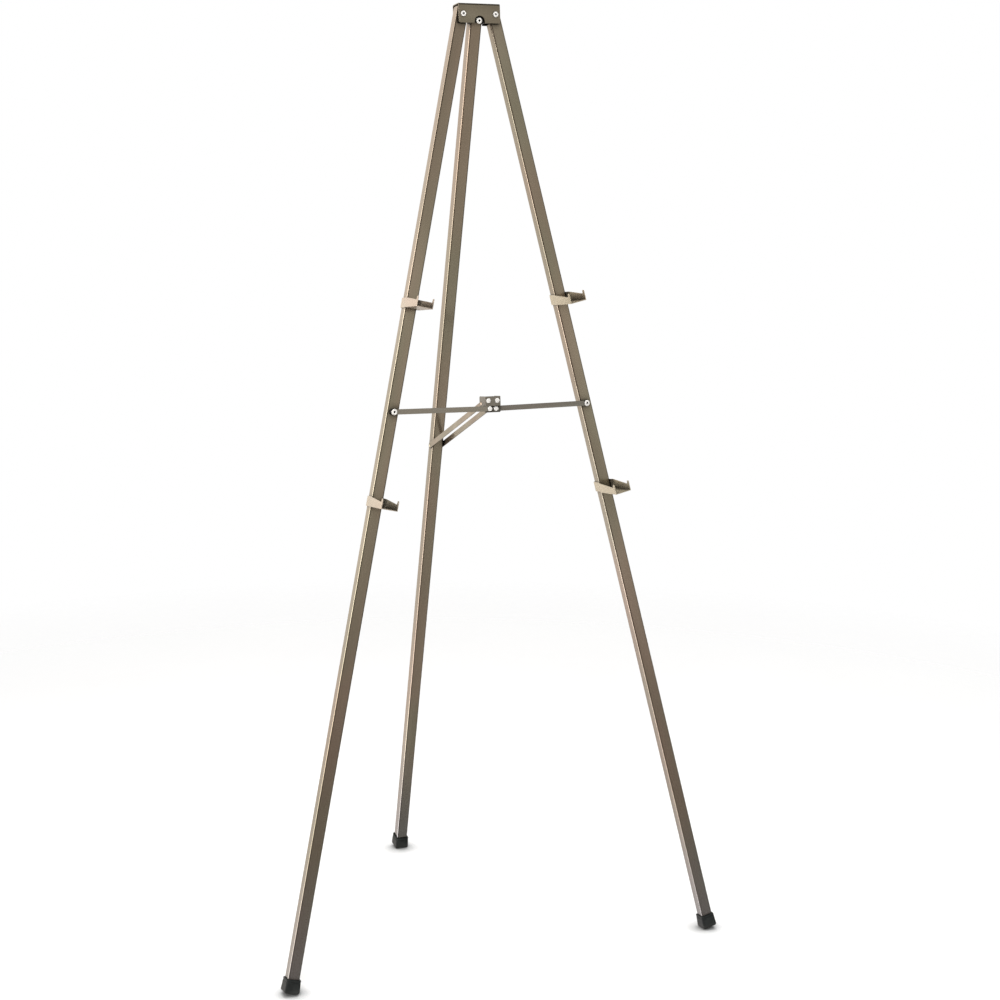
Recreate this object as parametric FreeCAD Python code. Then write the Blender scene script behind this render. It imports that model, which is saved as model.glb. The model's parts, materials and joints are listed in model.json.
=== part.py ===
"""Folding tripod easel of square steel tube, in millimetres.

Axes of the whole easel: +X to the right of a person who faces it, +Y to the
back, +Z up.  The origin is on the floor, in the middle between the feet.

Most pieces are drawn in one of three frames of their own:
  front frame   x right, y back, z up along the leaning plane of the two front
                legs; its origin is the middle of the top of the head
  leg frame     z up along a front leg, origin at its rivet in the head
  rear frame    z up along the rear leg, origin at its hinge pin
"""
import FreeCAD, Part
import math
import os

from FreeCAD import Placement, Rotation, Vector

# ---- Legs ---------------------------------------------------------------
TUBE = 19.05              # outside of the square tube
TUBE_WALL = 1.2
TUBE_CORNER = 2.6         # outside corner radius
FRONT_LEG_LENGTH = 1531.0  # head rivet to sole
LEAN = 6.79               # front plane, back from upright, degrees
REAR_SPREAD = 20.0        # rear leg from the front plane, degrees
LEG_RIVET_X = 26.6        # head rivets, either side of the middle
LEG_RIVET_DROP = 16.4     # below the top of the head
FRONT_LEG_ABOVE = 11.0    # tube above the head rivet
REAR_PIN_Y = 5.6          # hinge pin of the rear leg, behind the leg axes
REAR_PIN_DROP = 14.0
REAR_LEG_ABOVE = 7.0      # tube above the hinge pin

# ---- Rubber feet --------------------------------------------------------
FOOT_HEIGHT = 21.6
FOOT_TOP = 23.4           # square, at the open end
FOOT_BOTTOM = 25.4        # square, at the sole
FOOT_BEAD = 3.0           # height of the bead round the open end
FOOT_GROOVE = (1.2, 0.6)  # height and depth of the groove below the bead
FOOT_SOLE = 4.0           # rubber below the tube's end
FOOT_ROUNDING = 3.5

# ---- Crossbar, two straps that break upwards at the hub -----------------
CROSSBAR_ALONG_LEG = 622.0  # head rivet to crossbar pivot
CROSSBAR_PIVOT_X = 163.2    # with the easel open
HUB_PIVOT_X = 5.6
OVER_CENTRE = 1.8           # hub pivots lie this much below the leg pivots
STRAP_WIDTH = 8.2
STRAP_THICK = 1.6

# ---- Rear braces --------------------------------------------------------
BRACE_WIDTH = 9.0
BRACE_THICK = 1.4
BRACE_INNER_X = 10.0        # inner face of either brace
BRACE_HUB_Y = 2.0           # brace pivot in the hub, behind the leg axes
BRACE_HUB_ABOVE = 7.8       # and above the strap pivots

# ---- Sheet metal and its layers in front of the leg axes ----------------
SHEET = 1.5
GAP = 0.1                   # between layers that slide on each other
FACE_GAP = 0.05             # between a pivot's washer and the leg
LEG_FACE = TUBE / 2
RIGHT_STRAP_BACK = LEG_FACE + 2.1
RIGHT_STRAP_FRONT = RIGHT_STRAP_BACK + STRAP_THICK
HUB_BACK = RIGHT_STRAP_FRONT + GAP
HUB_FRONT = HUB_BACK + SHEET
LEFT_STRAP_BACK = HUB_FRONT + GAP
LEFT_STRAP_FRONT = LEFT_STRAP_BACK + STRAP_THICK

# ---- Head ---------------------------------------------------------------
HEAD_WIDTH = 68.5
HEAD_HEIGHT = 30.2
HEAD_SHEET = 1.6
HEAD_FRONT = LEG_FACE + 5.1
HEAD_BACK = LEG_FACE + 0.1 + HEAD_SHEET
HEAD_BEND = 3.2             # outside radius of the two top bends
HEAD_CORNER = 2.2
NOTCH_WIDTH = 16.5          # arch in the lower edge of the front wall
NOTCH_HEIGHT = 11.2
SLOT_WIDTH = 27.0           # opening in the back wall for the rear leg
SLOT_FROM_Y = 7.5
HINGE_PLATE_SHEET = 1.6
HEAD_WASHER = 1.5           # thickness, between the cap's front wall and the hinge plate
HINGE_PLATE_WIDTH = 65.0
HINGE_PLATE_TOP = 4.0
HINGE_PLATE_LIFT = 1.0      # its lower edge above the cap's
HEAD_WASHER_RADIUS = 6.0
CLEVIS_RIVET_DROP = 26.1
CLEVIS_WALL_BACK = 13.0
CLEVIS_TOP = 3.4
CLEVIS_LIFT = 1.5           # its lower edge above the cap's
CLEVIS_ROUNDING = 6.0       # rear corners of the two walls

# ---- Hub ----------------------------------------------------------------
HUB_WIDTH = 26.0
HUB_ABOVE = 19.4            # plate above the strap pivots
HUB_BELOW = 5.8             # and below them
STOP_ABOVE = STRAP_WIDTH / 2 + 0.1   # lower edge of the stop plate
STOP_RIVET_X = 7.5
STOP_RIVET_ABOVE = 12.6
HUB_CORNER = 1.5
HUB_EAR = 6.0               # radius of the ear round the brace pivot
HUB_WALL_ABOVE = 0.6        # foot of a side wall above the stop plate's edge
HUB_WALL_CHAMFER = 2.0      # top rear corner of a side wall
HUB_WALL_NECK = (1.0, 4.0)  # slanted front lower edge of a wall, behind the straps
STOP_CORNER = 1.2

# ---- Rivets and pins ----------------------------------------------------
SHANK = 2.5                 # radius
LEG_SHANK = 3.0             # radius of head rivets and of the hinge pin
RUNNING = 0.05              # radial clearance of a joint that turns
PIVOT_HEAD = 4.75           # radius of the crossbar and clevis rivet heads
HUB_HEAD = 3.25
HUB_DOME = 3.9              # radius of the solid heads on the front of the hub
LEG_HEAD = 4.4
EYELET = 1.45               # radius of the hole in a clinched rivet
PIN_HEAD = 4.5
HEAD_RISE = 1.6
THIN_RISE = 1.2
CLEVIS_RISE = 2.0
BRACE_TAIL = 0.2            # end of a hub brace shank past the brace's inner face

# ---- Shelf clips --------------------------------------------------------
CLIP_SHEET = 1.2
CLIP_CLEAR = 0.15           # round the leg
CLIP_REACH = 63.0           # in front of the leg
CLIP_HEIGHT = 16.0          # of the side walls at the leg
CLIP_FRONT_HEIGHT = 10.5    # of the side walls at the front
CLIP_TRAY_WIDTH = 26.6      # outside, in front of the leg
CLIP_JOGGLE = (1.0, 5.0)    # the walls step outwards between these distances from the leg
CLIP_TRAY_BACK = 9.0        # gap between the leg and the floor of the tray
CLIP_HORN = 5.5             # the turned-up front ends above the wall
CLIP_HORN_LENGTH = 4.5
CLIP_HORN_SLOPE = 1.5       # run of a horn's rear edge and drop of its front corner
CLIP_HORN_CORNER = 1.0
CLIP_BEND = 1.8             # outside radius of the bends behind the leg
# Head rivet to a clip's underside, as the clips are set
CLIP_SETTING = {("upper", "left"): 461.0, ("upper", "right"): 458.0,
                ("lower", "left"): 771.5, ("lower", "right"): 767.5}

# ---- Worked out from the sizes above ------------------------------------
SPLAY = math.degrees(math.asin((CROSSBAR_PIVOT_X - LEG_RIVET_X) / CROSSBAR_ALONG_LEG))
CROSSBAR_DROP = LEG_RIVET_DROP + CROSSBAR_ALONG_LEG * math.cos(math.radians(SPLAY))
HUB_DROP = CROSSBAR_DROP + OVER_CENTRE
STRAP_LENGTH = math.hypot(CROSSBAR_PIVOT_X - HUB_PIVOT_X, OVER_CENTRE)
FOLDED_HUB_DROP = (LEG_RIVET_DROP + CROSSBAR_ALONG_LEG
                   - math.sqrt(STRAP_LENGTH ** 2 - (LEG_RIVET_X - HUB_PIVOT_X) ** 2))
HUB_TRAVEL = HUB_DROP - FOLDED_HUB_DROP
BRACE_DROP = HUB_DROP - BRACE_HUB_ABOVE
LEFT, RIGHT = -1, 1


def brace_distance():
    """Distance from the hinge pin to the brace pivot along the rear leg.

    It is the one distance that gives the brace the same length when the easel
    is open and when it is folded with the hub at the top of its travel.
    """
    spread = math.radians(REAR_SPREAD)
    back = REAR_PIN_Y - BRACE_HUB_Y
    up = REAR_PIN_DROP - BRACE_DROP
    over = HUB_TRAVEL ** 2 + 2 * up * HUB_TRAVEL
    under = back * math.sin(spread) + up * (math.cos(spread) - 1) - HUB_TRAVEL
    return over / (2 * under)


BRACE_ALONG_LEG = brace_distance()
BRACE_LENGTH = math.hypot(REAR_PIN_Y - BRACE_HUB_Y,
                          REAR_PIN_DROP + BRACE_ALONG_LEG - BRACE_DROP + HUB_TRAVEL)

X_AXIS = Vector(1, 0, 0)
Y_AXIS = Vector(0, 1, 0)
Z_AXIS = Vector(0, 0, 1)


# ---- Small tools --------------------------------------------------------
def moved(shape, placement):
    """A copy of the shape, carried by the placement."""
    copy = shape.copy()
    copy.Placement = placement.multiply(shape.Placement)
    return copy


def turned(axis, degrees, at=Vector(0, 0, 0)):
    return Placement(at, Rotation(axis, degrees))


def pointing(direction, at):
    """Carries +Z to the direction and the origin to the point."""
    return Placement(at, Rotation(Z_AXIS, direction))


def block(x_span, y_span, z_span):
    size = [span[1] - span[0] for span in (x_span, y_span, z_span)]
    return Part.makeBox(*size, Vector(x_span[0], y_span[0], z_span[0]))


def rod(radius, start, end):
    return Part.makeCylinder(radius, (end - start).Length, start, end - start)


def ring(outer, inner, start, end):
    return rod(outer, start, end).cut(rod(inner, start, end))


def edges_along(shape, axis):
    """Straight edges that run parallel to the axis."""
    found = []
    for edge in shape.Edges:
        run = edge.Vertexes[-1].Point - edge.Vertexes[0].Point
        if run.Length > 0 and run.cross(axis).Length < 1e-6 * run.Length:
            found.append(edge)
    return found


def square_bar(side, radius, z_span):
    half = side / 2
    bar = block((-half, half), (-half, half), z_span)
    return bar.makeFillet(radius, edges_along(bar, Z_AXIS))


def square_tube(z_span):
    inner = TUBE - 2 * TUBE_WALL
    bore = (z_span[0] - 1, z_span[1] + 1)
    outside = square_bar(TUBE, TUBE_CORNER, z_span)
    return outside.cut(square_bar(inner, TUBE_CORNER - TUBE_WALL, bore))


def extruded(points, direction):
    """Prism over a closed outline of straight sides."""
    outline = Part.makePolygon(points + [points[0]])
    return Part.Face(outline).extrude(direction)


def outline_face(steps):
    """Face over a closed outline in the xz plane.

    A step is (x, z), a straight run to that point, or (mid x, mid z, x, z), an
    arc to (x, z) through the middle point.
    """
    points = [Vector(step[-2], 0, step[-1]) for step in steps]
    edges = []
    for index, step in enumerate(steps):
        start, end = points[index - 1], points[index]
        if len(step) == 4:
            edges.append(Part.Arc(start, Vector(step[0], 0, step[1]), end).toShape())
        else:
            edges.append(Part.makeLine(start, end))
    return Part.Face(Part.Wire(edges))


def cap_height(x, radius, height):
    """Height at x of the spherical cap that has this base radius and height."""
    sphere = (radius ** 2 + height ** 2) / (2 * height)
    return height - sphere + math.sqrt(sphere ** 2 - x ** 2)


def rivet(start, end, shank, start_head, end_head, rise, eyelet=0.0):
    """Shank from start to end, turned as one piece with a head past either end.

    A head radius of 0 leaves that end plain.  An eyelet radius makes the start
    head a clinched rim round a hole that runs into the shank.
    """
    length = (end - start).Length
    rim = rise * 0.3
    if eyelet:
        steps = [(0, eyelet), (eyelet, eyelet), (eyelet, -rise * 0.7)]
        steps.append(((eyelet + start_head) / 2, -rise, start_head, -rim))
        steps += [(start_head, 0), (shank, 0)]
    elif start_head:
        half = start_head / 2
        steps = [(0, -rise), (half, -rim - cap_height(half, start_head, rise - rim), start_head, -rim)]
        steps += [(start_head, 0), (shank, 0)]
    else:
        steps = [(0, 0), (shank, 0)]
    steps.append((shank, length))
    if end_head:
        half = end_head / 2
        steps += [(end_head, length), (end_head, length + rim)]
        steps.append((half, length + rim + cap_height(half, end_head, rise - rim), 0, length + rise))
    else:
        steps.append((0, length))
    turned_body = outline_face(steps).revolve(Vector(0, 0, 0), Z_AXIS, 360)
    return moved(turned_body, pointing(end - start, start))


def flat_bar(length, width, thick, start_hole, end_hole):
    """Strap along +X from pivot to pivot, its thickness from y = 0 to thick."""
    start, end, back = Vector(0, 0, 0), Vector(length, 0, 0), Vector(0, thick, 0)
    bar = block((0, length), (0, thick), (-width / 2, width / 2))
    bar = bar.fuse([rod(width / 2, start, start + back), rod(width / 2, end, end + back)])
    bar = bar.removeSplitter()
    return bar.cut([rod(start_hole, start, start + back), rod(end_hole, end, end + back)])


# ---- Rubber foot, drawn with its sole's middle at the origin -------------
def square_wire(side, z):
    half = side / 2
    corners = [Vector(-half, -half, z), Vector(half, -half, z)]
    corners += [Vector(half, half, z), Vector(-half, half, z)]
    return Part.makePolygon(corners + [corners[0]])


def foot():
    """Moulded foot that tapers up to a bead round its open end."""
    outside = Part.makeLoft([square_wire(FOOT_BOTTOM, 0), square_wire(FOOT_TOP, FOOT_HEIGHT)],
                            True, True)
    below_rim = [edge for edge in outside.Edges
                 if min(point.Point.z for point in edge.Vertexes) < 1]
    outside = outside.makeFillet(FOOT_ROUNDING, below_rim)
    tall, deep = FOOT_GROOVE
    span = (FOOT_HEIGHT - FOOT_BEAD - tall, FOOT_HEIGHT - FOOT_BEAD)
    neck = square_bar(FOOT_TOP - 2 * deep, FOOT_ROUNDING - deep, span)
    groove = square_bar(FOOT_BOTTOM, FOOT_ROUNDING, span).cut(neck)
    socket = square_bar(TUBE, TUBE_CORNER, (FOOT_SOLE, FOOT_HEIGHT + 1))
    return outside.cut([groove, socket])


# ---- Where the frames stand ---------------------------------------------
FOOT = foot()
LEAN_BACK = Rotation(X_AXIS, -LEAN)
LEG_TURN = {side: Rotation(Y_AXIS, -side * SPLAY) for side in (LEFT, RIGHT)}
REAR_TURN = Rotation(X_AXIS, REAR_SPREAD)


def foot_box(rotation):
    """Exact box of a foot that stands turned about its sole's middle."""
    return moved(FOOT, Placement(Vector(0, 0, 0), rotation)).optimalBoundingBox(False, False)


def stand_on_floor():
    """Front frame and rear leg length that set all three feet on the floor."""
    front_box = foot_box(LEAN_BACK.multiply(LEG_TURN[LEFT]))
    rear_box = foot_box(LEAN_BACK.multiply(REAR_TURN))
    sole = LEG_TURN[LEFT].multVec(Vector(0, 0, -FRONT_LEG_LENGTH))
    sole = LEAN_BACK.multVec(sole + Vector(-LEG_RIVET_X, 0, -LEG_RIVET_DROP))
    top_z = -sole.z - front_box.ZMin
    pin = LEAN_BACK.multVec(Vector(0, REAR_PIN_Y, -REAR_PIN_DROP))
    tilt = math.radians(REAR_SPREAD - LEAN)
    rear_length = (top_z + pin.z + rear_box.ZMin) / math.cos(tilt)
    front_edge = sole.y + front_box.YMin
    rear_edge = pin.y + rear_length * math.sin(tilt) + rear_box.YMax
    return Vector(0, -(front_edge + rear_edge) / 2, top_z), rear_length


HEAD_TOP, REAR_LEG_LENGTH = stand_on_floor()
FRONT = Placement(HEAD_TOP, LEAN_BACK)


def leg_frame(side):
    rivet_point = Vector(side * LEG_RIVET_X, 0, -LEG_RIVET_DROP)
    return FRONT.multiply(Placement(rivet_point, LEG_TURN[side]))


def rear_frame():
    return FRONT.multiply(Placement(Vector(0, REAR_PIN_Y, -REAR_PIN_DROP), REAR_TURN))


# ---- Head ---------------------------------------------------------------
PLATE_FRONT = -HEAD_FRONT + HEAD_SHEET + HEAD_WASHER


def leg_rivet_rods(radius):
    rods = []
    for side in (LEFT, RIGHT):
        x = side * LEG_RIVET_X
        rods.append(rod(radius, Vector(x, -HEAD_FRONT, -LEG_RIVET_DROP),
                        Vector(x, HEAD_BACK, -LEG_RIVET_DROP)))
    return rods


def head_cap():
    """Channel that is open at both ends, bent over the tops of the legs."""
    half = HEAD_WIDTH / 2
    outside = block((-half, half), (-HEAD_FRONT, HEAD_BACK), (-HEAD_HEIGHT, 0))
    top_edges = [edge for edge in edges_along(outside, X_AXIS) if edge.Vertexes[0].Point.z > -1]
    outside = outside.makeFillet(HEAD_BEND, top_edges)
    inside = block((-half - 1, half + 1), (-HEAD_FRONT + HEAD_SHEET, HEAD_BACK - HEAD_SHEET),
                   (-HEAD_HEIGHT - 10, -HEAD_SHEET))
    top_edges = [edge for edge in edges_along(inside, X_AXIS) if edge.Vertexes[0].Point.z > -5]
    inside = inside.makeFillet(HEAD_BEND - HEAD_SHEET, top_edges)
    channel = outside.cut(inside)
    corners = [edge for edge in edges_along(channel, Y_AXIS)
               if edge.Vertexes[0].Point.z < -HEAD_HEIGHT + 1]
    channel = channel.makeFillet(HEAD_CORNER, corners)
    radius = NOTCH_WIDTH / 2
    arch_z = -HEAD_HEIGHT + NOTCH_HEIGHT - radius
    front_span = (-HEAD_FRONT - 1, -HEAD_FRONT + HEAD_SHEET + 1)
    notch = block((-radius, radius), front_span, (-HEAD_HEIGHT - 1, arch_z))
    notch = notch.fuse(rod(radius, Vector(0, front_span[0], arch_z), Vector(0, front_span[1], arch_z)))
    slot = block((-SLOT_WIDTH / 2, SLOT_WIDTH / 2), (SLOT_FROM_Y, HEAD_BACK + 1), (-HEAD_HEIGHT - 1, 1))
    return channel.cut([notch, slot] + leg_rivet_rods(LEG_SHANK))


def hinge_plate():
    """Plate that the two leg rivets clamp behind the cap's front wall."""
    half = HINGE_PLATE_WIDTH / 2
    front = PLATE_FRONT
    z_span = (HINGE_PLATE_LIFT - HEAD_HEIGHT, -HINGE_PLATE_TOP)
    plate = block((-half, half), (front, front + HINGE_PLATE_SHEET), z_span)
    plate = plate.makeFillet(HEAD_CORNER, edges_along(plate, Y_AXIS))
    centre = Vector(0, front, -CLEVIS_RIVET_DROP)
    rivet_hole = rod(SHANK, centre, centre + Y_AXIS * HINGE_PLATE_SHEET)
    return plate.cut(leg_rivet_rods(LEG_SHANK) + [rivet_hole])


def rear_clevis():
    """U bracket whose two walls hold the hinge pin of the rear leg."""
    base_front = PLATE_FRONT + HINGE_PLATE_SHEET
    outer = BRACE_INNER_X + SHEET
    z_span = (CLEVIS_LIFT - HEAD_HEIGHT, -CLEVIS_TOP)
    bracket = block((-outer, outer), (base_front, CLEVIS_WALL_BACK), z_span)
    inner_span = (base_front + SHEET, CLEVIS_WALL_BACK + 1)
    hollow = block((-BRACE_INNER_X, BRACE_INNER_X), inner_span, (-HEAD_HEIGHT - 1, 1))
    bracket = bracket.cut(hollow)
    back_edges = [edge for edge in edges_along(bracket, X_AXIS)
                  if edge.Vertexes[0].Point.y > CLEVIS_WALL_BACK - 1]
    bracket = bracket.makeFillet(CLEVIS_ROUNDING, back_edges)
    pin_start = Vector(-outer, REAR_PIN_Y, -REAR_PIN_DROP)
    centre = Vector(0, base_front, -CLEVIS_RIVET_DROP)
    return bracket.cut([rod(LEG_SHANK, pin_start, pin_start + X_AXIS * 2 * outer),
                        rod(SHANK, centre, centre + Y_AXIS * SHEET)])


def clevis_rivet():
    front = PLATE_FRONT
    back = front + HINGE_PLATE_SHEET + SHEET
    return rivet(Vector(0, front, -CLEVIS_RIVET_DROP), Vector(0, back, -CLEVIS_RIVET_DROP),
                 SHANK, PIVOT_HEAD, HUB_HEAD, CLEVIS_RISE, EYELET)


def head_washers():
    """Washers on the leg rivets, in front of the hinge plate."""
    washers = []
    for side in (LEFT, RIGHT):
        start = Vector(side * LEG_RIVET_X, -HEAD_FRONT + HEAD_SHEET, -LEG_RIVET_DROP)
        washers.append(ring(HEAD_WASHER_RADIUS, LEG_SHANK, start, start + Y_AXIS * HEAD_WASHER))
    return washers


def clevis_pin():
    half = BRACE_INNER_X + SHEET
    return rivet(Vector(-half, REAR_PIN_Y, -REAR_PIN_DROP), Vector(half, REAR_PIN_Y, -REAR_PIN_DROP),
                 LEG_SHANK, PIN_HEAD, PIN_HEAD, THIN_RISE)


def head_leg_rivets():
    rivets = []
    for side in (LEFT, RIGHT):
        start = Vector(side * LEG_RIVET_X, -HEAD_FRONT, -LEG_RIVET_DROP)
        end = Vector(side * LEG_RIVET_X, HEAD_BACK, -LEG_RIVET_DROP)
        rivets.append(rivet(start, end, LEG_SHANK, LEG_HEAD, LEG_HEAD, HEAD_RISE, EYELET))
    return rivets


# ---- Legs ---------------------------------------------------------------
def front_leg_tube():
    tube = square_tube((FOOT_SOLE - FRONT_LEG_LENGTH, FRONT_LEG_ABOVE))
    return tube.cut(rod(LEG_SHANK + RUNNING, Vector(0, -TUBE, 0), Vector(0, TUBE, 0)))


def rear_leg_tube():
    tube = square_tube((FOOT_SOLE - REAR_LEG_LENGTH, REAR_LEG_ABOVE))
    return tube.cut(rod(LEG_SHANK + RUNNING, Vector(-TUBE, 0, 0), Vector(TUBE, 0, 0)))


# ---- Crossbar straps ----------------------------------------------------
def strap_turn():
    """Angle of an open strap below the line of the leg pivots, degrees."""
    return math.degrees(math.asin(OVER_CENTRE / STRAP_LENGTH))


def strap_faces(side):
    """y of the strap's front face and of its back face."""
    if side == LEFT:
        return -LEFT_STRAP_FRONT, -LEFT_STRAP_BACK
    return -RIGHT_STRAP_FRONT, -RIGHT_STRAP_BACK


def crossbar(side):
    front = strap_faces(side)[0]
    bar = flat_bar(STRAP_LENGTH, STRAP_WIDTH, STRAP_THICK, SHANK + RUNNING, SHANK)
    hub_pivot = Vector(side * HUB_PIVOT_X, front, -HUB_DROP)
    if side == RIGHT:
        return moved(bar, turned(Y_AXIS, -strap_turn(), hub_pivot))
    return moved(bar, turned(Y_AXIS, 180 + strap_turn(), hub_pivot))


def crossbar_rivet(side):
    """Clinched rivet; the shank ends at the leg's face, where the pivot is."""
    x = side * CROSSBAR_PIVOT_X
    start = Vector(x, strap_faces(side)[0], -CROSSBAR_DROP)
    end = Vector(x, -LEG_FACE - FACE_GAP, -CROSSBAR_DROP)
    return rivet(start, end, SHANK, PIVOT_HEAD, 0, HEAD_RISE, EYELET)


def crossbar_spacer(side):
    """Bush or washer between the strap and the leg."""
    x = side * CROSSBAR_PIVOT_X
    start = Vector(x, strap_faces(side)[1], -CROSSBAR_DROP)
    end = Vector(x, -LEG_FACE - FACE_GAP, -CROSSBAR_DROP)
    return ring(PIVOT_HEAD, SHANK, start, end)


# ---- Hub ----------------------------------------------------------------
def hub_strap_holes(radius):
    return [rod(radius, Vector(side * HUB_PIVOT_X, -LEFT_STRAP_FRONT, -HUB_DROP),
                Vector(side * HUB_PIVOT_X, 0, -HUB_DROP)) for side in (LEFT, RIGHT)]


def stop_rivet_holes(radius):
    z = STOP_RIVET_ABOVE - HUB_DROP
    return [rod(radius, Vector(side * STOP_RIVET_X, -LEFT_STRAP_FRONT, z),
                Vector(side * STOP_RIVET_X, 0, z)) for side in (LEFT, RIGHT)]


def hub_bracket():
    """Front plate with two side walls that run back to the brace pivot.

    The walls leave the plate only above the straps, so that a strap can swing
    down behind the plate.
    """
    half = HUB_WIDTH / 2
    top, bottom = HUB_ABOVE - HUB_DROP, -HUB_BELOW - HUB_DROP
    plate = block((-half, half), (-HUB_FRONT, -HUB_BACK), (bottom, top))
    low_edges = [edge for edge in edges_along(plate, Y_AXIS) if edge.Vertexes[0].Point.z < bottom + 1]
    plate = plate.makeFillet(HUB_CORNER, low_edges)
    ear_z = BRACE_HUB_ABOVE - HUB_DROP
    root = STOP_ABOVE + HUB_WALL_ABOVE - HUB_DROP
    rear = BRACE_HUB_Y + HUB_EAR
    low = ear_z - HUB_EAR
    neck_y = [offset - RIGHT_STRAP_BACK for offset in HUB_WALL_NECK]
    outline = [(-HUB_FRONT, root), (-HUB_FRONT, top), (rear - HUB_WALL_CHAMFER, top)]
    outline += [(rear, top - HUB_WALL_CHAMFER), (rear, ear_z), (BRACE_HUB_Y, ear_z)]
    outline += [(BRACE_HUB_Y, low), (neck_y[1], low), (neck_y[0], root)]
    walls = []
    for x in (-half, half - SHEET):
        wall = extruded([Vector(x, y, z) for y, z in outline], X_AXIS * SHEET)
        ear = rod(HUB_EAR, Vector(x, BRACE_HUB_Y, ear_z), Vector(x + SHEET, BRACE_HUB_Y, ear_z))
        walls.append(wall.fuse(ear))
    bracket = plate.fuse(walls).removeSplitter()
    pin = rod(SHANK, Vector(-half - 1, BRACE_HUB_Y, ear_z), Vector(half + 1, BRACE_HUB_Y, ear_z))
    return bracket.cut(hub_strap_holes(SHANK) + stop_rivet_holes(SHANK) + [pin])


def hub_stop_plate():
    """Plate on the hub; its lower edge stops the left strap just over centre."""
    half = HUB_WIDTH / 2
    plate = block((-half, half), (-HUB_FRONT - SHEET, -HUB_FRONT),
                  (STOP_ABOVE - HUB_DROP, HUB_ABOVE - HUB_DROP))
    plate = plate.makeFillet(STOP_CORNER, edges_along(plate, Y_AXIS))
    return plate.cut(stop_rivet_holes(SHANK))


def hub_stop_rivets():
    z = STOP_RIVET_ABOVE - HUB_DROP
    return [rivet(Vector(side * STOP_RIVET_X, -HUB_FRONT - SHEET, z),
                  Vector(side * STOP_RIVET_X, -HUB_BACK, z),
                  SHANK, HUB_DOME, HUB_HEAD, THIN_RISE) for side in (LEFT, RIGHT)]


def hub_strap_rivets():
    left = rivet(Vector(-HUB_PIVOT_X, -LEFT_STRAP_FRONT - FACE_GAP, -HUB_DROP),
                 Vector(-HUB_PIVOT_X, -HUB_BACK, -HUB_DROP),
                 SHANK, HUB_DOME, HUB_HEAD, THIN_RISE)
    right = rivet(Vector(HUB_PIVOT_X, -HUB_FRONT, -HUB_DROP),
                  Vector(HUB_PIVOT_X, -RIGHT_STRAP_BACK + FACE_GAP, -HUB_DROP),
                  SHANK, HUB_DOME, HUB_HEAD, THIN_RISE)
    return [left, right]


def hub_brace_rivets():
    z = BRACE_HUB_ABOVE - HUB_DROP
    return [rivet(Vector(side * HUB_WIDTH / 2, BRACE_HUB_Y, z),
                  Vector(side * (BRACE_INNER_X - BRACE_TAIL), BRACE_HUB_Y, z),
                  SHANK, HUB_HEAD, 0, THIN_RISE) for side in (LEFT, RIGHT)]


# ---- Rear braces --------------------------------------------------------
def brace_drop_angle():
    """Angle of an open brace from the y axis of the front frame, degrees."""
    spread = math.radians(REAR_SPREAD)
    run = REAR_PIN_Y + BRACE_ALONG_LEG * math.sin(spread) - BRACE_HUB_Y
    rise = -REAR_PIN_DROP - BRACE_ALONG_LEG * math.cos(spread) + BRACE_DROP
    return math.degrees(math.atan2(rise, run))


def brace(side):
    """Strap from the hub's ear back to the side of the rear leg."""
    bar = flat_bar(BRACE_LENGTH, BRACE_WIDTH, BRACE_THICK, SHANK + RUNNING, SHANK)
    x = BRACE_INNER_X + BRACE_THICK if side == RIGHT else -BRACE_INNER_X
    to_back = turned(X_AXIS, brace_drop_angle(), Vector(x, BRACE_HUB_Y, -BRACE_DROP))
    return moved(bar, to_back.multiply(turned(Z_AXIS, 90)))


def brace_rear_rivets():
    """Rivets whose shanks end at the sides of the rear leg."""
    turn = REAR_TURN.multVec(Vector(0, 0, -BRACE_ALONG_LEG))
    pivot = turn + Vector(0, REAR_PIN_Y, -REAR_PIN_DROP)
    outer = BRACE_INNER_X + BRACE_THICK
    return [rivet(pivot + X_AXIS * side * outer, pivot + X_AXIS * side * (LEG_FACE + FACE_GAP),
                  SHANK, HUB_HEAD, 0, THIN_RISE) for side in (LEFT, RIGHT)]


# ---- Shelf clips --------------------------------------------------------
def shelf_clip():
    """Folded clip that wraps the leg and reaches forward as a small shelf.

    It is drawn in the leg frame with its underside at z = 0.
    """
    inner = LEG_FACE + CLIP_CLEAR
    outer = inner + CLIP_SHEET
    wide = CLIP_TRAY_WIDTH / 2
    front = -LEG_FACE - CLIP_REACH
    step_y = [-LEG_FACE - distance for distance in CLIP_JOGGLE]

    def plan(narrow_half, wide_half, y_back, y_front):
        corners = [(narrow_half, y_back), (narrow_half, step_y[0])]
        corners += [(wide_half, step_y[1]), (wide_half, y_front)]
        mirrored = [(-x, y) for x, y in reversed(corners)]
        tall = Vector(0, 0, CLIP_HEIGHT + CLIP_HORN)
        return extruded([Vector(x, y, 0) for x, y in corners + mirrored], tall)

    shell = plan(outer, wide, outer, front).cut(plan(inner, wide - CLIP_SHEET, inner, front - 1))
    back_corners = [edge for edge in edges_along(shell, Z_AXIS)
                    if edge.Vertexes[0].Point.y > inner + 0.5]
    shell = shell.makeFillet(CLIP_BEND, back_corners)
    horn_top = CLIP_FRONT_HEIGHT + CLIP_HORN
    horn_back = front + CLIP_HORN_LENGTH
    side = [(outer, 0), (outer, CLIP_HEIGHT), (step_y[0], CLIP_HEIGHT)]
    side += [(horn_back + CLIP_HORN_SLOPE, CLIP_FRONT_HEIGHT), (horn_back, horn_top)]
    side += [(front + CLIP_HORN_CORNER, horn_top), (front, horn_top - CLIP_HORN_SLOPE), (front, 0)]
    prism = extruded([Vector(-wide - 1, y, z) for y, z in side], X_AXIS * 2 * (wide + 1))
    walls = shell.common(prism)
    half = wide - CLIP_SHEET
    tray = block((-half, half), (front, -LEG_FACE - CLIP_TRAY_BACK), (0, CLIP_SHEET))
    return walls.fuse(tray).removeSplitter()


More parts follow.
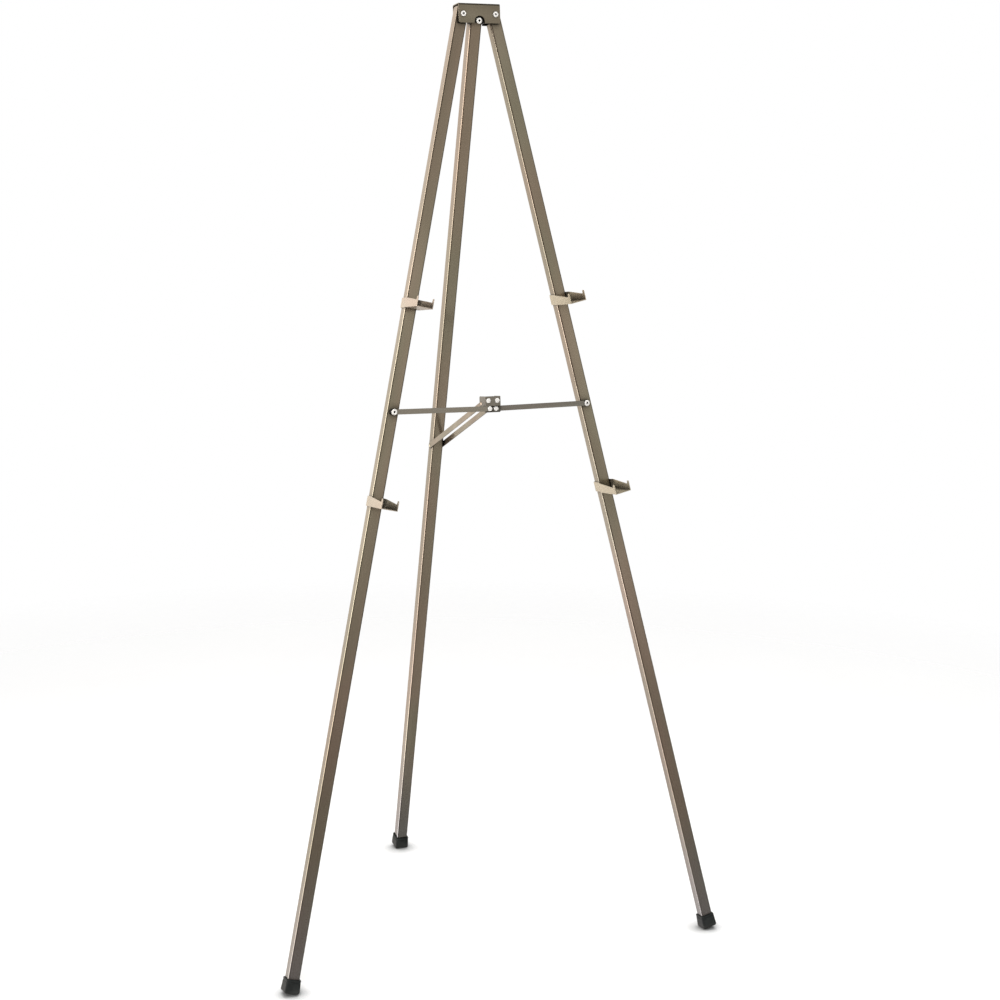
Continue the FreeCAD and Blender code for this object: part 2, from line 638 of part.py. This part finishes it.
def clip_on_leg(side, distance):
    return moved(CLIP, leg_frame(side).multiply(Placement(Vector(0, 0, -distance), Rotation())))


# ---- All sub-parts, placed ----------------------------------------------
def in_front(shapes):
    """Pieces of the front frame, set where the easel stands."""
    listed = shapes if isinstance(shapes, list) else [shapes]
    return [moved(shape, FRONT) for shape in listed]


CLIP = shelf_clip()
SOLE_FRONT = Placement(Vector(0, 0, -FRONT_LEG_LENGTH), Rotation())
SOLE_REAR = Placement(Vector(0, 0, -REAR_LEG_LENGTH), Rotation())

NODES = {
    "head_cap": in_front(head_cap()),
    "hinge_plate": in_front(hinge_plate()),
    "rear_clevis": in_front(rear_clevis()),
    "clevis_rivet": in_front(clevis_rivet()),
    "clevis_pin": in_front(clevis_pin()),
    "head_leg_rivets": in_front(head_leg_rivets()),
    "head_washers": in_front(head_washers()),
    "rear_leg_tube": [moved(rear_leg_tube(), rear_frame())],
    "rear_foot": [moved(FOOT, rear_frame().multiply(SOLE_REAR))],
    "hub_bracket": in_front(hub_bracket()),
    "hub_stop_plate": in_front(hub_stop_plate()),
    "hub_stop_rivets": in_front(hub_stop_rivets()),
    "hub_strap_rivets": in_front(hub_strap_rivets()),
    "hub_brace_rivets": in_front(hub_brace_rivets()),
    "left_crossbar_bush": in_front(crossbar_spacer(LEFT)),
    "right_crossbar_washer": in_front(crossbar_spacer(RIGHT)),
    "brace_rear_rivets": in_front(brace_rear_rivets()),
}
for name, side in (("left", LEFT), ("right", RIGHT)):
    NODES[name + "_leg_tube"] = [moved(front_leg_tube(), leg_frame(side))]
    NODES[name + "_foot"] = [moved(FOOT, leg_frame(side).multiply(SOLE_FRONT))]
    NODES[name + "_crossbar"] = in_front(crossbar(side))
    NODES[name + "_crossbar_rivet"] = in_front(crossbar_rivet(side))
    NODES[name + "_brace"] = in_front(brace(side))
    for level in ("upper", "lower"):
        NODES[level + "_" + name + "_clip"] = [clip_on_leg(side, CLIP_SETTING[level, name])]

os.makedirs("parts", exist_ok=True)
for node, solids in NODES.items():
    shape = solids[0] if len(solids) == 1 else Part.makeCompound(solids)
    shape.exportStep(os.path.join("parts", node + ".step"))
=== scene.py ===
"""Looks of the folding tripod easel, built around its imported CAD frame.

Every CAD node keeps its own mesh.  Modifiers weld it and round its sharp edges, and a
procedural finish covers it.  All lengths are in metres, in the row frame.
"""
import json
import math

import bpy
from mathutils import Matrix, Vector


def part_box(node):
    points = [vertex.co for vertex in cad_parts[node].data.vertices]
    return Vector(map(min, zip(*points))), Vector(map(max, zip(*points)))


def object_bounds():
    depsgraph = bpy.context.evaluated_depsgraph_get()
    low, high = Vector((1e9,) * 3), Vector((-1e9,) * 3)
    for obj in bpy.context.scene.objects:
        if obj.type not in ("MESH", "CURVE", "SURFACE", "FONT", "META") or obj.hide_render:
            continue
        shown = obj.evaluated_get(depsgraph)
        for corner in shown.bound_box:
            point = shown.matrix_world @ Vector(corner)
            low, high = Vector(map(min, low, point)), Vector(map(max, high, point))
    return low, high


# ---- Camera -----------------------------------------------------------------
CAMERA_YAW = 0.38619       # to the right of +Y, radians
CAMERA_PITCH = 0.19141     # below the horizon
CAMERA_ROLL = 0.01167
CAMERA_PLACE = (-1.117452, -2.958098, 1.318966)
LENS = 69.5                # mm, on a sensor 36 mm wide
SENSOR = 36.0

# ---- Edges ------------------------------------------------------------------
WELD = 1e-5                # vertices closer than this are one
FLAT_ANGLE = math.radians(0.5)
EDGE_ROUND = 0.0004
EDGE_ANGLE = math.radians(32)

# ---- Enamel: the base, dark and light tones of each coat ----------------------
BRONZE = ((0.335, 0.282, 0.218), (0.290, 0.243, 0.186), (0.430, 0.365, 0.290))
CAP = ((0.291, 0.237, 0.185), (0.250, 0.204, 0.158), (0.390, 0.330, 0.262))
# The crossbar straps share one enamel: the left one's lighter tones are painted light and the right one's darker
# tones are painted shade
LEFT_STRAP_LIT = ((0.365, 0.362, 0.318), (0.315, 0.312, 0.272), (0.470, 0.465, 0.415))
RIGHT_STRAP_SHADED = ((0.250, 0.245, 0.222), (0.212, 0.208, 0.190), (0.345, 0.338, 0.310))
# The clip trays share one enamel; the right one's browner tone and lower metal are painted light, the warmer light
# on its inner walls
LEFT_TRAY = ((0.500, 0.430, 0.345), (0.440, 0.375, 0.300), (0.580, 0.510, 0.420))
RIGHT_TRAY_WARM_LIT = ((0.500, 0.412, 0.310), (0.445, 0.362, 0.265), (0.580, 0.490, 0.385))
GREY = ((0.300, 0.298, 0.258), (0.235, 0.235, 0.205), (0.400, 0.395, 0.350))
# A darker copy of the grey enamel: painted shade for the hub bracket behind the straps
GREY_PAINTED_SHADE = ((0.155, 0.154, 0.134), (0.120, 0.120, 0.104), (0.220, 0.216, 0.192))
BLACK = ((0.020, 0.020, 0.019), (0.012, 0.012, 0.011), (0.06, 0.058, 0.053))
HUE_DRIFT = ((0.92, 0.985, 0.94), (1.05, 0.985, 0.97))   # greenish and reddish ends
FLOOR_GREY = (0.275, 0.275, 0.285)                       # tone that the legs take low down
FLOOR_GREY_HEIGHTS = (0.03, 0.22)
# Colour of the painted shade that darkens the enamel near joints and in creases
PAINTED_SHADE_TONE = (0.012, 0.010, 0.008)

# ---- Other finishes -----------------------------------------------------------
ZINC = ((0.78, 0.76, 0.71), (0.97, 0.95, 0.91), (0.99, 0.98, 0.96))
# Painted shade in eyelets and round rivet heads
EYELET_PAINTED_SHADE = (0.008, 0.008, 0.007)
RUBBER = ((0.011, 0.013, 0.013), (0.026, 0.029, 0.028))
RUBBER_DUST = (0.075, 0.075, 0.07)
RUBBER_DUST_TOP = 0.012
NYLON = ((0.018,) * 3, (0.035, 0.034, 0.033))

# ---- Floor --------------------------------------------------------------------
FLOOR_HALF = 3.0
FLOOR_FADE = (0.8, 2.4)    # distances from the middle where it starts and ends to fade
FLOOR_PALE = ((0.80,) * 3, (0.82,) * 3)
FLOOR_SHADE = (0.20, 0.21, 0.21)
FLOOR_GLOW = 0.2

# ---- Studio -------------------------------------------------------------------
# Brightness and tint of the walls round the easel, by the share of a turn from +Y by
# way of -X.  A narrow lamp stands at the left, and its image lights the tubes' corners.
WALLS = [(0.00, 1.1, (1.0, 0.91, 0.82)), (0.085, 1.3, (1.0, 0.92, 0.84)), (0.145, 1.2, (1.0, 0.93, 0.86)),
         (0.160, 8.0, (1.0, 0.96, 0.92)), (0.215, 8.0, (1.0, 0.96, 0.92)), (0.230, 0.95, (1.0, 0.92, 0.84)),
         (0.27, 0.85, (1.0, 0.91, 0.82)), (0.30, 0.08, (1.0, 0.80, 0.62)), (0.40, 0.06, (1.0, 0.80, 0.62)),
         (0.44, 0.34, (1.0, 0.88, 0.74)), (0.51, 0.42, (1.0, 0.90, 0.78)), (0.54, 0.66, (1.0, 0.92, 0.80)),
         (0.59, 0.64, (0.98, 1.0, 0.87)), (0.64, 0.16, (0.92, 1.0, 0.88)), (0.72, 0.36, (1.0, 0.95, 0.86)),
         (0.80, 0.38, (1.0, 0.95, 0.86)), (0.88, 0.28, (1.0, 0.97, 0.92))]
# Share of that brightness and its tint, by the height of the direction, from -1 to 1,
# for directions in front of the easel and behind it
FRONT_HEIGHTS = [(-1.0, 0.32, (1, 1, 1)), (-0.75, 0.32, (1, 1, 1)), (-0.69, 0.42, (1, 0.96, 1)),
                 (-0.60, 0.84, (1, 1, 1.05)), (-0.45, 0.99, (1, 1, 1.05)), (-0.33, 0.80, (1, 1, 1)),
                 (-0.22, 0.34, (1, 0.95, 1)), (-0.16, 0.39, (1, 0.89, 1)), (-0.05, 0.71, (1, 0.90, 1)),
                 (0.05, 0.87, (1, 0.97, 1)), (0.105, 0.92, (1, 1, 1.02)), (0.24, 0.95, (1, 1, 1.05)),
                 (0.55, 0.05, (1, 1, 1))]
BACK_HEIGHTS = [(-1.0, 0.70, (1, 1, 1)), (-0.5, 0.76, (0.97, 1, 1.1)), (-0.35, 0.82, (1, 1, 1.05)),
                (-0.28, 0.85, (1, 1, 1)), (-0.20, 0.79, (1, 1, 1)), (-0.12, 0.80, (1, 1, 1)),
                (-0.06, 0.98, (1, 0.97, 0.95)), (0.0, 0.90, (1, 1, 1)), (0.13, 1.0, (1, 1, 1)),
                (0.24, 1.0, (1, 1, 1)), (0.55, 0.05, (1, 1, 1))]
# Name, place, diameter and watts of the soft lamps
FILLS = [("fill_front", (-1.6, -3.2, 2.6), 2.4, 120.0),
         ("fill_top", (0.4, 0.2, 4.0), 3.4, 145.0)]

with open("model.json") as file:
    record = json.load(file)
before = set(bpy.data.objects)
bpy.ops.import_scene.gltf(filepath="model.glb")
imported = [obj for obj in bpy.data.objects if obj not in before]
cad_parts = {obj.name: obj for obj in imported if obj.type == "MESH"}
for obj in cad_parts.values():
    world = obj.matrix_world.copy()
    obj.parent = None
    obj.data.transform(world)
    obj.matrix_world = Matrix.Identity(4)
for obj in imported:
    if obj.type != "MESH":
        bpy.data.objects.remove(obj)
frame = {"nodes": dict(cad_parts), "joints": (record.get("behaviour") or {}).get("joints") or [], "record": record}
BOX_OF_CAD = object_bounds()


# ---- Node tools ---------------------------------------------------------------
class Nodes:
    """A node tree, with short calls that add and join nodes."""

    def __init__(self, tree):
        self.tree = tree
        tree.nodes.clear()

    def add(self, kind, **inputs):
        """A new node; an input is a value or another node's output socket."""
        node = self.tree.nodes.new(kind)
        for key, value in inputs.items():
            self.feed(node.inputs[key.replace("_", " ")], value)
        return node

    def feed(self, socket, value):
        if isinstance(value, bpy.types.NodeSocket):
            self.tree.links.new(value, socket)
        else:
            socket.default_value = value

    def maths(self, operation, *values, clamp=False):
        node = self.add("ShaderNodeMath")
        node.operation = operation
        node.use_clamp = clamp
        for socket, value in zip(node.inputs, values):
            self.feed(socket, value)
        return node.outputs[0]

    def ramp(self, factor, stops):
        """A colour ramp from (position, (r, g, b)) stops."""
        node = self.add("ShaderNodeValToRGB", Fac=factor)
        elements = node.color_ramp.elements
        while len(elements) < len(stops):
            elements.new(0.5)
        for element, (place, colour) in zip(elements, stops):
            element.position = place
            element.color = (*colour, 1.0)
        return node.outputs["Color"]

    def mix(self, factor, first, second, blend="MIX"):
        node = self.add("ShaderNodeMix")
        node.data_type = "RGBA"
        node.blend_type = blend
        self.feed(node.inputs["Factor"], factor)
        for socket, colour in ((node.inputs[6], first), (node.inputs[7], second)):
            self.feed(socket, colour if isinstance(colour, bpy.types.NodeSocket) else (*colour, 1.0))
        return node.outputs[2]

    def join(self, factor, first, second):
        """A shader that turns from the first to the second as the factor runs from 0 to 1."""
        blend = self.add("ShaderNodeMixShader", Fac=factor)
        self.feed(blend.inputs[1], first.outputs[0])
        self.feed(blend.inputs[2], second.outputs[0])
        return blend


class Finish(Nodes):
    """A material's nodes, in the object's own coordinates."""

    def __init__(self, name):
        self.material = bpy.data.materials.new(name)
        self.material.use_nodes = True
        super().__init__(self.material.node_tree)
        self.output = self.add("ShaderNodeOutputMaterial")
        self.point = self.add("ShaderNodeTexCoord").outputs["Object"]

    def height(self):
        return self.add("ShaderNodeSeparateXYZ", Vector=self.point).outputs["Z"]

    def noise(self, point, scale, detail=2.0, roughness=0.5):
        node = self.add("ShaderNodeTexNoise", Vector=point, Scale=scale, Detail=detail, Roughness=roughness)
        return node.outputs["Fac"]

    def between(self, factor, low, high, start=0.0, end=1.0):
        """A value that runs from low to high as the factor runs from start to end."""
        node = self.add("ShaderNodeMapRange", Value=factor, From_Min=start, From_Max=end,
                        To_Min=low, To_Max=high)
        return node.outputs["Result"]

    def stretched(self, axis, squeeze):
        """Object coordinates squeezed along an axis, so that a texture streaks along it."""
        turn = Vector(axis).rotation_difference(Vector((0, 0, 1))).to_euler()
        turned = self.add("ShaderNodeMapping", Vector=self.point, Rotation=turn)
        scaled = self.add("ShaderNodeMapping", Vector=turned.outputs[0], Scale=(1, 1, squeeze))
        return scaled.outputs[0]

    def bump(self, height, strength, distance, normal=None):
        node = self.add("ShaderNodeBump", Height=height, Strength=strength, Distance=distance)
        if normal is not None:
            self.feed(node.inputs["Normal"], normal)
        return node.outputs["Normal"]

    def edge_mask(self, radius, sharp=0.25):
        """1 where the surface turns within the radius, 0 on open flats."""
        bevel = self.add("ShaderNodeBevel", Radius=radius)
        bevel.samples = 4
        dot = self.add("ShaderNodeVectorMath")
        dot.operation = "DOT_PRODUCT"
        self.feed(dot.inputs[0], bevel.outputs[0])
        self.feed(dot.inputs[1], self.add("ShaderNodeNewGeometry").outputs["Normal"])
        turned = self.maths("SUBTRACT", 1.0, dot.outputs["Value"])
        return self.maths("DIVIDE", turned, sharp, clamp=True)

    def crevice(self, reach, depth):
        """1 in the open, falling to 0 where other surfaces close in within the reach."""
        node = self.add("ShaderNodeAmbientOcclusion", Distance=reach)
        node.samples = 6
        return self.maths("POWER", node.outputs["AO"], depth)

    def show(self, shader):
        self.feed(self.output.inputs["Surface"], shader.outputs[0])
        return self.material

    def principled(self, **inputs):
        return self.show(self.add("ShaderNodeBsdfPrincipled", **inputs))


# ---- Finishes -----------------------------------------------------------------
def enamel(name, tones, axis, metal=0.88, shine=0.17, painted_shade=(0.012, 2.5)):
    """Satin stove enamel: fine orange peel, cloudy tone that drifts in hue, sharp edges lightened in patches,
    partly wear and partly painted highlight.

    Its last argument is how far from a joint the finish darkens in painted shade, and how strongly.
    """
    base, dark, light = tones
    m = Finish(name)
    cloudy = m.noise(m.stretched(axis, squeeze=0.12), scale=20.0, detail=3.0)
    colour = m.ramp(cloudy, [(0.3, dark), (0.5, base), (0.72, light)])
    hue = m.noise(m.stretched(axis, squeeze=0.35), scale=13.0, detail=1.0)
    drift = m.ramp(hue, [(0.38, HUE_DRIFT[0]), (0.62, HUE_DRIFT[1])])
    colour = m.mix(1.0, colour, drift, "MULTIPLY")
    bottom, top = FLOOR_GREY_HEIGHTS
    low = m.between(m.height(), 0.8, 0.0, start=bottom, end=top)
    colour = m.mix(low, colour, FLOOR_GREY)
    speck = m.noise(m.point, scale=1600.0, detail=1.0)
    colour = m.mix(m.between(speck, 0.0, 0.2), colour, dark)
    # Lighter patches along sharp edges: partly enamel wear, partly painted highlight.
    chipped = m.maths("GREATER_THAN", m.noise(m.point, scale=240.0, detail=3.0), 0.56)
    worn_and_highlit = m.maths("MULTIPLY", m.edge_mask(radius=0.0006), chipped)
    colour = m.mix(m.maths("MULTIPLY", worn_and_highlit, 0.55), colour, light)
    # Painted shade: the enamel darkens where other surfaces close in, at joints and in creases.
    colour = m.mix(m.crevice(*painted_shade), PAINTED_SHADE_TONE, colour)
    peel = m.noise(m.point, scale=520.0, roughness=0.6)
    drag = m.noise(m.stretched(axis, squeeze=0.03), scale=900.0, roughness=0.6)
    normal = m.bump(peel, strength=0.22, distance=0.00008)
    normal = m.bump(drag, strength=0.10, distance=0.00005, normal=normal)
    patchy = m.noise(m.stretched(axis, squeeze=0.2), scale=60.0, detail=3.0)
    rough = m.between(patchy, shine - 0.05, shine + 0.07)
    return m.principled(Base_Color=colour, Metallic=metal, Roughness=rough, Normal=normal,
                        Coat_Weight=0.25, Coat_Roughness=0.1, Specular_IOR_Level=0.5)


def rivet_steel():
    """Bright zinc plate with fine turning marks, soft grey patches, and painted shade that darkens the eyelets and
    the rims round the heads.
    """
    dull, plain, bright = ZINC
    m = Finish("rivet_steel")
    patch = m.noise(m.point, scale=420.0, detail=3.0, roughness=0.65)
    colour = m.ramp(patch, [(0.3, dull), (0.5, plain), (0.8, bright)])
    # Painted shade: the eyelets and the joins round the heads darken where surfaces close in.
    clear = m.crevice(reach=0.003, depth=4.5)
    colour = m.mix(clear, EYELET_PAINTED_SHADE, colour)
    scratch = m.noise(m.stretched((0, 1, 0.1), squeeze=0.06), scale=2600.0, roughness=0.7)
    normal = m.bump(scratch, strength=0.3, distance=0.00004)
    normal = m.bump(patch, strength=0.2, distance=0.00008, normal=normal)
    return m.principled(Base_Color=colour, Metallic=m.between(clear, 0.1, 0.2),
                        Roughness=m.between(patch, 0.42, 0.26), Normal=normal)


def rubber():
    """Moulded black rubber with a fine grain and a dusty bloom low down."""
    m = Finish("rubber_foot")
    grain = m.noise(m.point, scale=1500.0, detail=3.0, roughness=0.6)
    bloom = m.noise(m.point, scale=70.0, detail=4.0, roughness=0.6)
    low = m.between(m.height(), 1.0, 0.0, end=RUBBER_DUST_TOP)
    dust = m.maths("MULTIPLY", low, m.between(bloom, 0.1, 0.7))
    colour = m.mix(dust, m.ramp(bloom, [(0.3, RUBBER[0]), (0.7, RUBBER[1])]), RUBBER_DUST)
    return m.principled(Base_Color=colour, Roughness=m.between(grain, 0.48, 0.68),
                        Normal=m.bump(grain, strength=0.5, distance=0.00012), Specular_IOR_Level=0.32)


def nylon():
    """Black nylon with a fine grain."""
    m = Finish("nylon")
    grain = m.noise(m.point, scale=1200.0)
    colour = m.ramp(grain, [(0.35, NYLON[0]), (0.7, NYLON[1])])
    return m.principled(Base_Color=colour, Roughness=m.between(grain, 0.38, 0.5),
                        Normal=m.bump(grain, strength=0.2, distance=0.00005))


# ---- Which finish goes where --------------------------------------------------
def leg_axis(side):
    """Direction up a front leg, which is the slide of its upper clip."""
    return next(Vector(joint["axis"]) for joint in frame["joints"]
                if joint["name"] == "upper_" + side + "_clip_slide")


def rear_axis():
    """Direction up the rear leg, which lies in the yz plane."""
    low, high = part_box("rear_leg_tube")
    return Vector((0, low.y - high.y, high.z - low.z)).normalized()


def enamels():
    """Every enamel by its name; its brush marks and streaks run along its axis."""
    across, ahead, upright = (1, 0, 0), (0, 1, 0), (0, 0, 1)
    tray, plate = {"metal": 0.52, "shine": 0.27}, {"shine": 0.3, "painted_shade": (0.006, 3.0)}
    rows = [("bronze_left", BRONZE, leg_axis("left"), {}),
            ("bronze_right", BRONZE, leg_axis("right"), {}),
            ("bronze_rear", BRONZE, rear_axis(), {}),
            ("bronze_cap", CAP, across, {}),
            ("bronze_left_strap", LEFT_STRAP_LIT, across, {}),
            ("bronze_right_strap", RIGHT_STRAP_SHADED, across, {}),
            ("bronze_left_tray", LEFT_TRAY, ahead, tray),
            # Lower metal on the right tray: part of its painted light
            ("bronze_right_tray", RIGHT_TRAY_WARM_LIT, ahead, {**tray, "metal": 0.45}),
            ("grey_enamel", GREY, upright, plate),
            ("grey_painted_shade", GREY_PAINTED_SHADE, upright, {**plate, "painted_shade": (0.014, 7.0)}),
            ("black_enamel", BLACK, upright, {"shine": 0.4})]
    return {name: enamel(name, tones, axis, **options) for name, tones, axis, options in rows}


def bronze_name(node):
    """The bronze enamel that a bronze node wears."""
    side = "left" if "left" in node else "right"
    if "clip" in node:
        return "bronze_" + side + "_tray"
    if node == "head_cap":
        return "bronze_cap"
    if "crossbar" in node:
        return "bronze_" + side + "_strap"
    if "brace" in node or "rear" in node:
        return "bronze_rear"
    return "bronze_" + side


def finishes():
    """Material of every node, by the node's name."""
    coats = enamels()
    coats.update({"rivet_steel": rivet_steel(), "rubber_foot": rubber(), "nylon": nylon()})
    chosen = {}
    for row in frame["record"]["subparts"]:
        node, slot = row["node"], row["material_slot"]
        # The hub bracket wears a darker copy of the grey enamel, with strong darkening near joints: painted shade.
        if node == "hub_bracket":
            chosen[node] = coats["grey_painted_shade"]
        elif slot == "bronze_enamel":
            chosen[node] = coats[bronze_name(node)]
        else:
            chosen[node] = coats[slot]
    return chosen


# ---- Edges of the pieces ------------------------------------------------------
def smooth_shading():
    """Geometry nodes that shade every face smooth."""
    group = bpy.data.node_groups.new("smooth_shading", "GeometryNodeTree")
    for way in ("INPUT", "OUTPUT"):
        group.interface.new_socket("Geometry", in_out=way, socket_type="NodeSocketGeometry")
    start = group.nodes.new("NodeGroupInput")
    shade = group.nodes.new("GeometryNodeSetShadeSmooth")
    end = group.nodes.new("NodeGroupOutput")
    group.links.new(start.outputs[0], shade.inputs[0])
    group.links.new(shade.outputs[0], end.inputs[0])
    return group


def soften(piece, shading):
    """Joins split vertices, clears triangles from flat faces and rounds sharp edges.

    Modifiers do it all, so the mesh itself stays as it came.
    """
    weld = piece.modifiers.new("weld", "WELD")
    weld.merge_threshold = WELD
    flat = piece.modifiers.new("flat", "DECIMATE")
    flat.decimate_type = "DISSOLVE"
    flat.angle_limit = FLAT_ANGLE
    piece.modifiers.new("smooth", "NODES").node_group = shading
    bevel = piece.modifiers.new("bevel", "BEVEL")
    bevel.width = EDGE_ROUND
    bevel.segments = 2
    bevel.limit_method = "ANGLE"
    bevel.angle_limit = EDGE_ANGLE
    bevel.harden_normals = True
    normals = piece.modifiers.new("normals", "WEIGHTED_NORMAL")
    normals.keep_sharp = True


def dress_pieces():
    """Gives every CAD node its finish and soft edges."""
    materials = finishes()
    shading = smooth_shading()
    for node, piece in frame["nodes"].items():
        piece.data.materials.clear()
        piece.data.materials.append(materials[node])
        soften(piece, shading)


# ---- Stage ----------------------------------------------------------------------
def floor_finish():
    """Pale and faintly glowing, with painted contact shadow close to the feet, fading out far from the easel."""
    m = Finish("floor")
    away = m.add("ShaderNodeVectorMath")
    away.operation = "LENGTH"
    m.feed(away.inputs[0], m.point)
    start, end = FLOOR_FADE
    shown = m.between(away.outputs["Value"], 1.0, 0.0, start=start, end=end)
    pale = m.ramp(m.noise(m.point, scale=3.0), [(0.3, FLOOR_PALE[0]), (0.7, FLOOR_PALE[1])])
    # Painted contact shadow: the floor darkens towards FLOOR_SHADE and glows less where the easel closes in.
    clear = m.crevice(reach=0.025, depth=1.7)
    seen = m.add("ShaderNodeBsdfPrincipled", Base_Color=m.mix(clear, FLOOR_SHADE, pale), Roughness=0.8,
                 Emission_Color=(1, 1, 1, 1), Emission_Strength=m.maths("MULTIPLY", clear, FLOOR_GLOW),
                 Alpha=shown)
    # The easel's own reflections look through the floor at the walls.
    glossy = m.add("ShaderNodeLightPath").outputs["Is Glossy Ray"]
    return m.show(m.join(glossy, seen, m.add("ShaderNodeBsdfTransparent")))


def floor():
    """Plain pale floor that fades into the white background."""
    mesh = bpy.data.meshes.new("floor")
    corners = [(x * FLOOR_HALF, y * FLOOR_HALF, 0) for x, y in ((-1, -1), (1, -1), (1, 1), (-1, 1))]
    mesh.from_pydata(corners, [], [(0, 1, 2, 3)])
    mesh.materials.append(floor_finish())
    ground = bpy.data.objects.new("floor", mesh)
    bpy.context.scene.collection.objects.link(ground)


def tinted(stops):
    """Ramp stops from (position, level, tint)."""
    return [(place, [level * part for part in tint]) for place, level, tint in stops]


def surroundings():
    """White to the eye; to the object, walls that are bright at the left and behind, dim elsewhere."""
    world = bpy.data.worlds.new("studio")
    world.use_nodes = True
    bpy.context.scene.world = world
    w = Nodes(world.node_tree)
    split = w.add("ShaderNodeSeparateXYZ", Vector=w.add("ShaderNodeTexCoord").outputs["Generated"])
    x, y, z = split.outputs
    turn = w.maths("ARCTAN2", w.maths("MULTIPLY", x, -1.0), y)
    turn = w.maths("FRACT", w.maths("ADD", w.maths("DIVIDE", turn, 2 * math.pi), 1.0))
    strength = max(level for place, level, tint in WALLS)
    # The ramp's colours stay within 0 to 1, and the ring closes on its first wall.
    ring = tinted([(place, level / strength, tint) for place, level, tint in WALLS])
    ring.append((1.0, ring[0][1]))
    raised = w.maths("MULTIPLY", w.maths("ADD", z, 1.0), 0.5)
    front, back = [w.ramp(raised, tinted([((place + 1) / 2, level, tint) for place, level, tint in heights]))
                   for heights in (FRONT_HEIGHTS, BACK_HEIGHTS)]
    height = w.mix(w.maths("GREATER_THAN", y, 0.0), front, back)
    colour = w.mix(1.0, w.ramp(turn, ring), height, "MULTIPLY")
    lit = w.add("ShaderNodeBackground", Color=colour, Strength=strength)
    white = w.add("ShaderNodeBackground", Color=(1, 1, 1, 1))
    blend = w.join(w.add("ShaderNodeLightPath").outputs["Is Camera Ray"], lit, white)
    w.add("ShaderNodeOutputWorld", Surface=blend.outputs[0])


def fill(name, place, size, power):
    """Soft lamp aimed at the middle of the easel, which leaves no image in its reflections."""
    light = bpy.data.lights.new(name, "AREA")
    light.shape = "DISK"
    light.size = size
    light.energy = power
    lamp = bpy.data.objects.new(name, light)
    lamp.location = place
    middle = (BOX_OF_CAD[0] + BOX_OF_CAD[1]) / 2
    lamp.rotation_euler = (middle - Vector(place)).to_track_quat("-Z", "Y").to_euler()
    lamp.visible_glossy = False
    bpy.context.scene.collection.objects.link(lamp)


def camera():
    """Camera that looks down at the easel from the front left."""
    yaw, pitch, roll = CAMERA_YAW, CAMERA_PITCH, CAMERA_ROLL
    ahead = Vector((math.sin(yaw) * math.cos(pitch), math.cos(yaw) * math.cos(pitch), -math.sin(pitch)))
    level = Vector((math.cos(yaw), -math.sin(yaw), 0))
    upright = level.cross(ahead)
    right = math.cos(roll) * level + math.sin(roll) * upright
    up = math.cos(roll) * upright - math.sin(roll) * level
    data = bpy.data.cameras.new("camera")
    data.lens = LENS
    data.sensor_width = SENSOR
    eye = bpy.data.objects.new("camera", data)
    eye.matrix_world = Matrix.Translation(CAMERA_PLACE) @ Matrix((right, up, -ahead)).transposed().to_4x4()
    bpy.context.scene.collection.objects.link(eye)
    bpy.context.scene.camera = eye


dress_pieces()
floor()
surroundings()
for lamp in FILLS:
    fill(*lamp)
camera()
bpy.context.scene.view_settings.view_transform = "Standard"
